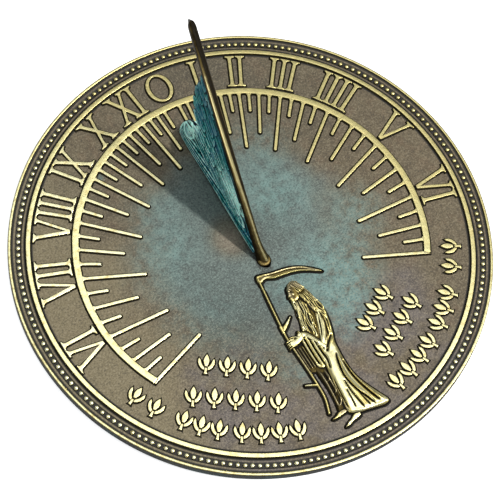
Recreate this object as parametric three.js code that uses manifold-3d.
// Garden sundial: a cast dial plate, a cast wing gnomon and the fixings that hold it from below.
// Millimetres, +Z up, +Y towards noon on the dial. The origin is the centre of the underside.
import * as THREE from 'three';
import { mergeVertices } from 'three/addons/utils/BufferGeometryUtils.js';
import Module from 'manifold-3d';

const wasm = await Module();
wasm.setup();

// ---- driving dimensions ----

const DIAL_RADIUS = 127;
const GROUND = 5; // top of the plain ground between the raised work
const RIM_TOP = 5.7;
const WEB_UNDERSIDE = 2.6; // the plate is hollow below, inside its rim flange
const FLANGE_WIDTH = 4.5;
const FOOT_EDGE = 0.6;
const RIM_EDGE = 0.35;
const RIM_WIDTH = 1.85;
const BEAD_RING_RADIUS = 121.5;
const BEAD_RADIUS = 1.25; // the beads' ring is one rounded ridge here
const BORDER_RADIUS = 116.4;
const BORDER_HALF_WIDTH = 1.5;
const BORDER_HEIGHT = 1.2;
const RIDGE_SLOPE = 0.4; // how far a ridge's sides lean in

const ARC_RADIUS = 92;
const ARC_HALF_WIDTH = 1.75;
const RELIEF_HEIGHT = 1.1; // hour lines, numerals and ornament stand this far off the ground
const SUNK = 1; // how deep raised work is rooted in what it stands on, so that it joins it

const LATITUDE = THREE.MathUtils.degToRad(42); // the hour lines are laid out for this latitude
const STYLE_FOOT_Y = -13; // the hour lines meet where the style meets the plate
const LAST_HOUR = 7; // the dial runs from 7 hours before noon to 7 hours after
const HOUR_LINE = 33;
const HALF_HOUR_LINE = 24;
const QUARTER_HOUR_LINE = 11;
const HOUR_LINE_WIDTH = 1.75;
const ROOT_FLARE = 0.3; // extra width where a line grows out of the arc

const NUMERAL_FOOT = 95; // radius of the numerals' inner ends
const NUMERAL_HEIGHT = 19;
const NUMERAL_STROKE = 2;
const HAIRLINE_STROKE = 1.65;
const SERIF_WIDTH = 5.2;
const SERIF_THICKNESS = 0.8;
const SERIF_HEIGHT = 2.2; // with the slope that joins it to its stroke
const V_SPREAD = 5.3; // from a V's middle to the tops of its strokes
const X_SPREAD = 4.3;
const NOON_RING = { halfWidth: 7.2, halfHeight: 8.8, sideStroke: 2.3, endStroke: 1.5 };

const ORNAMENT_ARC = 104.5; // radius of the ornament's row inside the border
const SPRIG_SCALE = 1.06;

const BODY_HEIGHT = 2.4; // of the figure's robe, above the ground
const HAND_HEIGHT = 2.2;
const SHAFT_HEIGHT = 1.3;
const SHAFT_WIDTH = 1.6;

const STYLE_TIP_Y = 80;
const STYLE_TIP_Z = 107; // above the plate's ground
const STYLE_DEPTH = 3.4;
const STYLE_HALF_WIDTH = 2.3;
const STYLE_TIP_HALF_WIDTH = 2.1;
const STYLE_FOOT_HALF_WIDTH = 3.5;
const STYLE_TIP_TAPER = 5; // the tip narrows over this length
const WING_HALF_THICKNESS = 1.5;
const FOOT_PAD_RADIUS = 3.6;
const FOOT_PAD_X = 1.2;
const FOOT_PAD_OFFSET = 2.6; // from the style's foot to the pad's centre
const WING_ROOT = 8; // along the style, where the wing's outline closes inside it

// The screws stand where the wing's base is thick enough to keep a wall round their holes.
const SCREW_SEATS = [{ name: 'front', y: 24 }, { name: 'rear', y: 60 }];
const SCREW_RADIUS = 1.25;
const SCREW_HEAD_RADIUS = 2.5;
const SCREW_HEAD_HEIGHT = 1.5;
const SCREW_REACH = 4.5; // length inside the gnomon
const WASHER_THICKNESS = 0.55;
const WASHER_RADIUS = 2.4;
const CLEARANCE = 0.2;
const SEAT_GAP = 0.05;

const PEDESTAL_BOSS_CIRCLE = 63.5;
const PEDESTAL_BOSS_RADIUS = 7;
const PEDESTAL_BOSS_ANGLES = [30, 150, 270];
const PEDESTAL_HOLE_RADIUS = 2.55;
const PEDESTAL_HOLE_DEPTH = 3.6;

const ROUND_STEPS = 72;

// ---- joining and cutting ----

function toSolid(geometry) {
  const bare = geometry.clone();
  bare.deleteAttribute('normal');
  bare.deleteAttribute('uv');
  const merged = mergeVertices(bare, 1e-4);
  return new wasm.Manifold(new wasm.Mesh({
    numProp: 3,
    vertProperties: new Float32Array(merged.attributes.position.array),
    triVerts: new Uint32Array(merged.index.array),
  }));
}

function toGeometry(solid) {
  const mesh = solid.getMesh();
  const geometry = new THREE.BufferGeometry();
  geometry.setAttribute('position', new THREE.BufferAttribute(new Float32Array(mesh.vertProperties), 3));
  geometry.setIndex(new THREE.BufferAttribute(new Uint32Array(mesh.triVerts), 1));
  geometry.computeVertexNormals();
  return geometry;
}

function join(solids) {
  return solids.reduce((whole, solid) => whole.add(solid));
}

// ---- small shapes ----

function prism(points, bottom, top) {
  const shape = new THREE.Shape(points.map(([x, y]) => new THREE.Vector2(x, y)));
  const geometry = new THREE.ExtrudeGeometry(shape, { depth: top - bottom, bevelEnabled: false });
  return geometry.translate(0, 0, bottom);
}

function turned(profile, steps) {
  const points = profile.map(([radius, z]) => new THREE.Vector2(radius, z));
  return new THREE.LatheGeometry(points, steps).rotateX(Math.PI / 2);
}

function disc(radius, bottom, top, steps) {
  return turned([[0, bottom], [radius, bottom], [radius, top], [0, top]], steps);
}

function halfRound(centre, halfWidth, base, height, steps) {
  return Array.from({ length: steps + 1 }, (_, i) => {
    const angle = Math.PI * (1 - i / steps);
    return [centre + halfWidth * Math.cos(angle), base + height * Math.sin(angle)];
  });
}

// A flat-topped ridge's section, from its outer foot to its inner foot.
function ridge(centre, halfWidth, base, height) {
  const outer = [[centre + halfWidth, base], [centre + halfWidth - RIDGE_SLOPE, base + height]];
  const inner = [[centre - halfWidth + RIDGE_SLOPE, base + height], [centre - halfWidth, base]];
  return [...outer, ...inner];
}

// A tapered stroke from one point to another.
function strokeOutline([x0, y0], [x1, y1], width0, width1) {
  const length = Math.hypot(x1 - x0, y1 - y0);
  const across = [-(y1 - y0) / length, (x1 - x0) / length];
  const side = (x, y, half) => [x + across[0] * half, y + across[1] * half];
  const right = [side(x0, y0, -width0 / 2), side(x1, y1, -width1 / 2)];
  const left = [side(x1, y1, width1 / 2), side(x0, y0, width0 / 2)];
  return [...right, ...left];
}

function raised(points, height = RELIEF_HEIGHT) {
  return toSolid(prism(points, GROUND - SUNK, GROUND + height));
}

// A closed skin through rings of points; the two end rings are capped.
function loft(rings) {
  const count = rings[0].length;
  const positions = rings.flat(2);
  const faces = [];
  for (let ring = 0; ring < rings.length - 1; ring++) {
    for (let i = 0; i < count; i++) {
      const a = ring * count + i;
      const b = ring * count + (i + 1) % count;
      faces.push(a, b, b + count, a, b + count, a + count);
    }
  }
  const last = (rings.length - 1) * count;
  for (let i = 1; i < count - 1; i++) {
    faces.push(0, i + 1, i, last, last + i, last + i + 1);
  }
  const geometry = new THREE.BufferGeometry();
  geometry.setAttribute('position', new THREE.Float32BufferAttribute(positions, 3));
  geometry.setIndex(faces);
  return geometry;
}

// ---- where things lie on the dial ----

// Direction of an hour line, clockwise from noon, for the hour counted from noon.
function hourAngle(hour) {
  const sunAngle = THREE.MathUtils.degToRad(15 * hour);
  return Math.atan2(Math.sin(LATITUDE) * Math.sin(sunAngle), Math.cos(sunAngle));
}

// Where an hour line crosses a circle about the plate's centre.
function hourPoint(hour, radius) {
  const angle = hourAngle(hour);
  const along = -STYLE_FOOT_Y * Math.cos(angle);
  const reach = along + Math.sqrt(radius ** 2 - STYLE_FOOT_Y ** 2 + along ** 2);
  return [reach * Math.sin(angle), STYLE_FOOT_Y + reach * Math.cos(angle)];
}

// The same point as an angle about the plate's centre, clockwise from noon.
function hourBearing(hour, radius) {
  const [x, y] = hourPoint(hour, radius);
  return Math.atan2(x, y);
}

// Turns a flat outline so that its own +Y points outwards at a bearing on the dial.
function placeOutward(points, bearing, radius) {
  const sine = Math.sin(bearing);
  const cosine = Math.cos(bearing);
  return points.map(([x, y]) => [x * cosine + (radius + y) * sine, (radius + y) * cosine - x * sine]);
}

// ---- dial plate ----

function plateBody() {
  const rimInner = DIAL_RADIUS - RIM_WIDTH;
  const flangeInner = DIAL_RADIUS - FLANGE_WIDTH;
  return toSolid(turned([
    [0, WEB_UNDERSIDE],
    [flangeInner - FOOT_EDGE, WEB_UNDERSIDE],
    [flangeInner, 0],
    [DIAL_RADIUS - FOOT_EDGE, 0],
    [DIAL_RADIUS, FOOT_EDGE],
    [DIAL_RADIUS, RIM_TOP - RIM_EDGE],
    [DIAL_RADIUS - RIM_EDGE, RIM_TOP],
    [rimInner + RIM_EDGE, RIM_TOP],
    [rimInner, GROUND],
    ...halfRound(BEAD_RING_RADIUS, BEAD_RADIUS, GROUND, BEAD_RADIUS, 4).reverse(),
    ...ridge(BORDER_RADIUS, BORDER_HALF_WIDTH, GROUND, BORDER_HEIGHT),
    [0, GROUND],
  ], ROUND_STEPS));
}

function chapterArc() {
  const end = hourBearing(LAST_HOUR, ARC_RADIUS);
  const steps = 44;
  const edge = (radius, from, to) => Array.from({ length: steps + 1 }, (_, i) => {
    const bearing = from + (to - from) * i / steps;
    return [radius * Math.sin(bearing), radius * Math.cos(bearing)];
  });
  const overlap = HOUR_LINE_WIDTH / ARC_RADIUS;
  const outer = edge(ARC_RADIUS + ARC_HALF_WIDTH, -end - overlap, end + overlap);
  const inner = edge(ARC_RADIUS - ARC_HALF_WIDTH, end + overlap, -end - overlap);
  return raised([...outer, ...inner]);
}

function hourLine(hour, length) {
  const start = hourPoint(hour, ARC_RADIUS - ARC_HALF_WIDTH / 2);
  const angle = hourAngle(hour);
  const reach = length + ARC_HALF_WIDTH / 2;
  const end = [start[0] - reach * Math.sin(angle), start[1] - reach * Math.cos(angle)];
  const half = HOUR_LINE_WIDTH / 2;
  const outline = strokeOutline(start, end, HOUR_LINE_WIDTH + ROOT_FLARE, HOUR_LINE_WIDTH);
  const nose = [-Math.PI / 3, 0, Math.PI / 3].map((turn) => {
    const bearing = angle + Math.PI + turn;
    return [end[0] + half * Math.sin(bearing), end[1] + half * Math.cos(bearing)];
  });
  return raised([...outline.slice(0, 2), ...nose.reverse(), ...outline.slice(2)]);
}

function hourLines() {
  const lengths = [HOUR_LINE, QUARTER_HOUR_LINE, HALF_HOUR_LINE, QUARTER_HOUR_LINE];
  const lines = [];
  for (let quarter = 1; quarter <= LAST_HOUR * 4; quarter++) {
    for (const side of [-1, 1]) {
      lines.push(hourLine(side * quarter / 4, lengths[quarter % 4]));
    }
  }
  return lines;
}

function serif(x, y, inwards) {
  const wide = SERIF_WIDTH / 2;
  const narrow = NUMERAL_STROKE / 2;
  const half = [[wide, 0], [wide, SERIF_THICKNESS], [narrow, SERIF_HEIGHT]];
  const mirrored = half.map(([across, up]) => [-across, up]).reverse();
  const points = [...half, ...mirrored].map(([across, up]) => [x + across, y + inwards * up]);
  return inwards > 0 ? points : points.reverse();
}

// Each letter is a list of outlines about its own middle, with its foot at y = 0.
const LETTERS = {
  I: {
    halfAdvance: 2.6,
    outlines: [
      strokeOutline([0, 0], [0, NUMERAL_HEIGHT], NUMERAL_STROKE, NUMERAL_STROKE),
      serif(0, 0, 1),
      serif(0, NUMERAL_HEIGHT, -1),
    ],
  },
  V: {
    halfAdvance: 6.6,
    outlines: [
      strokeOutline([-V_SPREAD, NUMERAL_HEIGHT], [-0.4, 0.2], NUMERAL_STROKE, NUMERAL_STROKE),
      strokeOutline([V_SPREAD, NUMERAL_HEIGHT], [0.4, 0.2], HAIRLINE_STROKE, HAIRLINE_STROKE),
      serif(-V_SPREAD, NUMERAL_HEIGHT, -1),
      serif(V_SPREAD, NUMERAL_HEIGHT, -1),
    ],
  },
  X: {
    halfAdvance: 5.6,
    outlines: [
      strokeOutline([-X_SPREAD, NUMERAL_HEIGHT], [X_SPREAD, 0], NUMERAL_STROKE, NUMERAL_STROKE),
      strokeOutline([X_SPREAD, NUMERAL_HEIGHT], [-X_SPREAD, 0], HAIRLINE_STROKE, HAIRLINE_STROKE),
      ...[-X_SPREAD, X_SPREAD].flatMap((x) => [serif(x, 0, 1), serif(x, NUMERAL_HEIGHT, -1)]),
    ],
  },
};

function numeral(text, hour) {
  const letters = [...text].map((letter) => LETTERS[letter]);
  const width = letters.reduce((sum, letter) => sum + 2 * letter.halfAdvance, 0);
  const middle = NUMERAL_FOOT + NUMERAL_HEIGHT / 2;
  const centre = hourBearing(hour, middle);
  let along = -width / 2;
  return letters.flatMap((letter) => {
    const bearing = centre + (along + letter.halfAdvance) / middle;
    along += 2 * letter.halfAdvance;
    return letter.outlines.map((outline) => raised(placeOutward(outline, bearing, NUMERAL_FOOT)));
  });
}

// Noon is marked by a plain upright ring.
function noonRing() {
  const oval = (halfWidth, halfHeight) => Array.from({ length: 24 }, (_, i) => {
    const angle = 2 * Math.PI * i / 24;
    return [halfWidth * Math.cos(angle), halfHeight * Math.sin(angle)];
  });
  const middle = NUMERAL_FOOT + NUMERAL_HEIGHT / 2;
  const { halfWidth, halfHeight, sideStroke, endStroke } = NOON_RING;
  const outer = raised(placeOutward(oval(halfWidth, halfHeight), 0, middle));
  const opening = placeOutward(oval(halfWidth - sideStroke, halfHeight - endStroke), 0, middle);
  return outer.subtract(toSolid(prism(opening, GROUND, GROUND + 2 * RELIEF_HEIGHT)));
}

const NUMERALS = [['VI', -6], ['VII', -5], ['VIII', -4], ['IX', -3], ['X', -2], ['XI', -1],
  ['I', 1], ['II', 2], ['III', 3], ['IIII', 4], ['V', 5], ['VI', 6]];

// ---- ornament below the hour lines ----

// A sprig about its own middle, pointing along +X: a stalk, a bud and a leaf curling out at each side.
const STALK = [[-5.2, -0.9], [-1.2, -0.65], [-1.2, 0.65], [-5.2, 0.9]];
const BUD = [[-1.5, -0.6], [2, -1.45], [5.3, 0], [2, 1.45], [-1.5, 0.6]];
const SIDE_LEAF = [[-3.2, 0.4], [-1.6, 0.4], [0.4, 2.3], [3.3, 3.7], [1.2, 4.2], [-2.2, 2.9]];

function sprig([x, y], turn) {
  const sine = SPRIG_SCALE * Math.sin(turn);
  const cosine = SPRIG_SCALE * Math.cos(turn);
  const otherLeaf = SIDE_LEAF.map(([u, v]) => [u, -v]).reverse();
  return [STALK, BUD, SIDE_LEAF, otherLeaf].map((outline) => raised(
    outline.map(([u, v]) => [x + u * cosine - v * sine, y + u * sine + v * cosine]),
  ));
}

// Evenly spaced sprigs on a straight row, each crossing the row's direction.
function straightRow(from, to, count) {
  const direction = Math.atan2(to[1] - from[1], to[0] - from[0]);
  return Array.from({ length: count }, (_, i) => {
    const t = i / (count - 1);
    const centre = [from[0] + (to[0] - from[0]) * t, from[1] + (to[1] - from[1]) * t];
    return sprig(centre, direction + Math.PI / 2);
  }).flat();
}

// Sprigs on the row inside the border, pointing at the middle, in groups with a wider space between them.
function arcRow(bearings) {
  return bearings.flatMap((degrees) => {
    const bearing = THREE.MathUtils.degToRad(degrees);
    const centre = [ORNAMENT_ARC * Math.sin(bearing), ORNAMENT_ARC * Math.cos(bearing)];
    return sprig(centre, -Math.PI / 2 - bearing);
  });
}

const ARC_SPRIGS = [117, 123.4, 132, 137, 142, 148.4, 153.6, 158.8, 164];

function ornament() {
  return [
    ...straightRow([-53.3, -48.3], [-26.7, -65.8], 4),
    ...straightRow([-67.5, -60.8], [-30.8, -83.3], 5),
    ...arcRow(ARC_SPRIGS.map((degrees) => -degrees)),
    ...straightRow([30.8, -65.8], [47.5, -55], 3),
    ...straightRow([31.7, -82.5], [58.3, -65.8], 4),
    ...arcRow(ARC_SPRIGS),
  ];
}

// ---- the robed figure with a scythe, in low relief ----

const ROBE = [[2.2, -31.7], [4.2, -28.4], [7.2, -27.4], [10.4, -29.2], [12.4, -33.6], [14.4, -41.1],
  [15.6, -47.8], [14.6, -55], [12.8, -63.3], [12, -76.7], [13.4, -85], [16.1, -93.3], [20.5, -107],
  [15.6, -108.9], [7.8, -108.4], [-1.1, -104.2], [-0.7, -90.6], [-1, -77], [-3.6, -70], [-3.2, -56.5],
  [-0.6, -52.2], [1.2, -45.4], [2.2, -40]];
const BACK_LEG = [[-5.2, -76], [-0.6, -76], [-0.4, -103.4], [-4.6, -101.4]];
const FRONT_FOOT = [[3, -106], [3, -108.6], [-3.6, -110.4], [-6.8, -110.2], [-3.6, -107.6]];
const BACK_FOOT = [[-1.4, -101.6], [-1.2, -103.4], [-6.4, -104.6], [-10.2, -103.4], [-6, -101.6]];
const BLADE = [[-8, -18.4], [-6.6, -17.2], [-1.7, -18.3], [5, -19.2], [11.7, -20.6], [18.3, -23.6],
  [24.6, -28.4], [16.1, -25.2], [6.1, -22.9], [-1.7, -21.6], [-5, -21.2], [-7.8, -20.6]];
const SHAFT = [[-7.2, -20], [-8.9, -41], [-9.7, -55], [-8.6, -72], [-8.2, -84], [-8.8, -93], [-10.6, -100]];
const GRIPS = [[[-9.4, -49.4], [-2.4, -44.8]], [[-8.4, -84.4], [-14, -81.8]]];
const HAND = [[-11.4, -57.4], [-9.6, -55.4], [-3, -55.8], [-2.6, -59.2], [-8, -60.6], [-10.8, -59.6]];

function figure() {
  const shaft = SHAFT.slice(1).map((point, i) => strokeOutline(point, SHAFT[i], SHAFT_WIDTH, SHAFT_WIDTH));
  const grips = GRIPS.map(([from, to]) => strokeOutline(from, to, SHAFT_WIDTH, SHAFT_WIDTH * 0.7));
  const low = [BACK_LEG, [...FRONT_FOOT].reverse(), [...BACK_FOOT].reverse(), BLADE, ...shaft, ...grips];
  const lowForms = low.map((outline) => raised(outline, SHAFT_HEIGHT));
  return [raised(ROBE, BODY_HEIGHT), raised(HAND, HAND_HEIGHT), ...lowForms];
}

// ---- underside ----

function pedestalBosses() {
  return PEDESTAL_BOSS_ANGLES.map((degrees) => {
    const angle = THREE.MathUtils.degToRad(degrees);
    const centre = [PEDESTAL_BOSS_CIRCLE * Math.cos(angle), PEDESTAL_BOSS_CIRCLE * Math.sin(angle)];
    return {
      boss: toSolid(disc(PEDESTAL_BOSS_RADIUS, 0, WEB_UNDERSIDE + SUNK, 24).translate(...centre, 0)),
      hole: toSolid(disc(PEDESTAL_HOLE_RADIUS, -1, PEDESTAL_HOLE_DEPTH, 16).translate(...centre, 0)),
    };
  });
}

function screwHole(y, bottom, top) {
  return toSolid(disc(SCREW_RADIUS + CLEARANCE, bottom, top, 16).translate(0, y, 0));
}

function dialPlate() {
  const bosses = pedestalBosses();
  const raisedWork = [
    chapterArc(),
    ...hourLines(),
    ...NUMERALS.flatMap(([text, hour]) => numeral(text, hour)),
    noonRing(),
    ...ornament(),
    ...figure(),
  ];
  let plate = join([plateBody(), ...bosses.map(({ boss }) => boss), ...raisedWork]);
  for (const { hole } of bosses) {
    plate = plate.subtract(hole);
  }
  for (const { y } of SCREW_SEATS) {
    plate = plate.subtract(screwHole(y, 0, GROUND + 1));
  }
  return toGeometry(plate);
}

// ---- gnomon: a wing that carries the style, cast in one piece ----

const STYLE_ANGLE = Math.atan2(STYLE_TIP_Z, STYLE_TIP_Y - STYLE_FOOT_Y);
const STYLE_LENGTH = Math.hypot(STYLE_TIP_Z, STYLE_TIP_Y - STYLE_FOOT_Y);
const GNOMON_BASE = GROUND + SEAT_GAP;

// A point in the gnomon's own plane: along the style from its foot, and below its upper edge.
function onStyle(along, below) {
  const y = STYLE_FOOT_Y + along * Math.cos(STYLE_ANGLE) + below * Math.sin(STYLE_ANGLE);
  const z = along * Math.sin(STYLE_ANGLE) - below * Math.cos(STYLE_ANGLE);
  return [y, z];
}

// Wing outline in the gnomon's plane: base, shoulder, notch, then up the feather tips to the style.
const WING_OUTLINE = [[-9, -SUNK], [74.6, -SUNK], [77.2, 4], [75.6, 11], [72, 18.5], [68.4, 23],
  [65, 24.6], [61.8, 25.2], [63.4, 30], [66.2, 36], [68.4, 43], [69.2, 50], [68.8, 58], [67, 66],
  [63.6, 76], [64.6, 87]];

function wing() {
  const corners = [...WING_OUTLINE, onStyle(WING_ROOT, STYLE_DEPTH / 2)];
  const outline = prism(corners, -WING_HALF_THICKNESS, WING_HALF_THICKNESS);
  const upright = new THREE.Matrix4().makeBasis(
    new THREE.Vector3(0, 1, 0),
    new THREE.Vector3(0, 0, 1),
    new THREE.Vector3(1, 0, 0),
  );
  return toSolid(outline.applyMatrix4(upright));
}

function styleRing(along, halfWidth, depth) {
  const edge = halfWidth * 0.45;
  const section = [[-halfWidth, depth], [-halfWidth, halfWidth * 0.6], [-edge, 0], [edge, 0],
    [halfWidth, halfWidth * 0.6], [halfWidth, depth]];
  return section.map(([x, below]) => [x, ...onStyle(along, below)]);
}

function style() {
  const rings = [
    styleRing(-4, STYLE_FOOT_HALF_WIDTH, STYLE_DEPTH),
    styleRing(3, STYLE_FOOT_HALF_WIDTH, STYLE_DEPTH),
    styleRing(12, STYLE_HALF_WIDTH, STYLE_DEPTH),
    styleRing(STYLE_LENGTH - STYLE_TIP_TAPER, STYLE_TIP_HALF_WIDTH, STYLE_DEPTH * 0.85),
    styleRing(STYLE_LENGTH, STYLE_TIP_HALF_WIDTH * 0.5, STYLE_DEPTH * 0.4),
  ];
  return toSolid(loft(rings));
}

// The wing's leading edge: a rounded rib along the base that swells to the shoulder.
function leadingEdge() {
  // place along the base, half width, height
  const stations = [[-11, 1.6, 2.5], [0, 2.2, 5.5], [20, 2.5, 7.5], [45, 2.8, 9.5],
    [62, 3.1, 13], [71, 2.9, 14], [75.4, 2.1, 10], [77, 1.2, 6]];
  const rings = stations.map(([y, halfWidth, height]) => [
    [-halfWidth, y, -SUNK],
    [-halfWidth, y, height * 0.5],
    [-halfWidth * 0.55, y, height * 0.88],
    [0, y, height],
    [halfWidth * 0.55, y, height * 0.88],
    [halfWidth, y, height * 0.5],
    [halfWidth, y, -SUNK],
  ]);
  return toSolid(loft(rings));
}

function footPad() {
  const profile = [[0, -SUNK], [FOOT_PAD_RADIUS, -SUNK], [FOOT_PAD_RADIUS, 0.7], [2.8, 1.1], [0, 1.35]];
  const pad = turned(profile, 20);
  return toSolid(pad.translate(FOOT_PAD_X, STYLE_FOOT_Y + FOOT_PAD_OFFSET, 0));
}

function gnomon() {
  const belowSeat = toSolid(new THREE.BoxGeometry(40, 200, 40).translate(0, 0, -20));
  let solid = join([wing(), style(), leadingEdge(), footPad()]).subtract(belowSeat);
  for (const { y } of SCREW_SEATS) {
    solid = solid.subtract(screwHole(y, -1, SCREW_REACH + CLEARANCE));
  }
  return toGeometry(solid).translate(0, 0, GNOMON_BASE);
}

// ---- fixings ----

const WASHER_TOP = WEB_UNDERSIDE - SEAT_GAP;
const HEAD_TOP = WASHER_TOP - WASHER_THICKNESS - SEAT_GAP;

function screw(y) {
  const head = HEAD_TOP - SCREW_HEAD_HEIGHT;
  const body = toSolid(turned([
    [0, head],
    [SCREW_HEAD_RADIUS - 0.7, head],
    [SCREW_HEAD_RADIUS, head + 0.6],
    [SCREW_HEAD_RADIUS, HEAD_TOP],
    [SCREW_RADIUS, HEAD_TOP],
    [SCREW_RADIUS, GNOMON_BASE + SCREW_REACH - 0.6],
    [SCREW_RADIUS - 0.4, GNOMON_BASE + SCREW_REACH],
    [0, GNOMON_BASE + SCREW_REACH],
  ], 20));
  const slot = toSolid(new THREE.BoxGeometry(2 * SCREW_HEAD_RADIUS + 1, 0.8, 1.6).translate(0, 0, head));
  return toGeometry(body.subtract(slot)).translate(0, y, 0);
}

// A split spring washer, cut through on one side.
function lockWasher(y) {
  const split = 0.16;
  const steps = 22;
  const ring = (radius, from, to) => Array.from({ length: steps + 1 }, (_, i) => {
    const angle = from + (to - from) * i / steps;
    return [radius * Math.cos(angle), radius * Math.sin(angle)];
  });
  const outer = ring(WASHER_RADIUS, split, 2 * Math.PI - split);
  const inner = ring(SCREW_RADIUS + CLEARANCE, 2 * Math.PI - 2 * split, 2 * split);
  return prism([...outer, ...inner], WASHER_TOP - WASHER_THICKNESS, WASHER_TOP).translate(0, y, 0);
}

// ---- materials and assembly ----

function material(color, roughness, metalness) {
  return new THREE.MeshStandardMaterial({ color, roughness, metalness });
}

const agedBrass = material(0x7c7058, 0.55, 0.8);
const verdigrisBrass = material(0x2f6468, 0.6, 0.5);
const screwBrass = material(0xb08d4a, 0.35, 0.9);
const springSteel = material(0x8b8d90, 0.4, 0.9);

function named(name, geometry, finish) {
  const mesh = new THREE.Mesh(geometry, finish);
  mesh.name = name;
  return mesh;
}

const sundial = new THREE.Group();
sundial.add(named('dial_plate', dialPlate(), agedBrass));
sundial.add(named('gnomon', gnomon(), verdigrisBrass));
for (const { name, y } of SCREW_SEATS) {
  sundial.add(named(`${name}_screw`, screw(y), screwBrass));
  sundial.add(named(`${name}_lock_washer`, lockWasher(y), springSteel));
}

export default sundial;
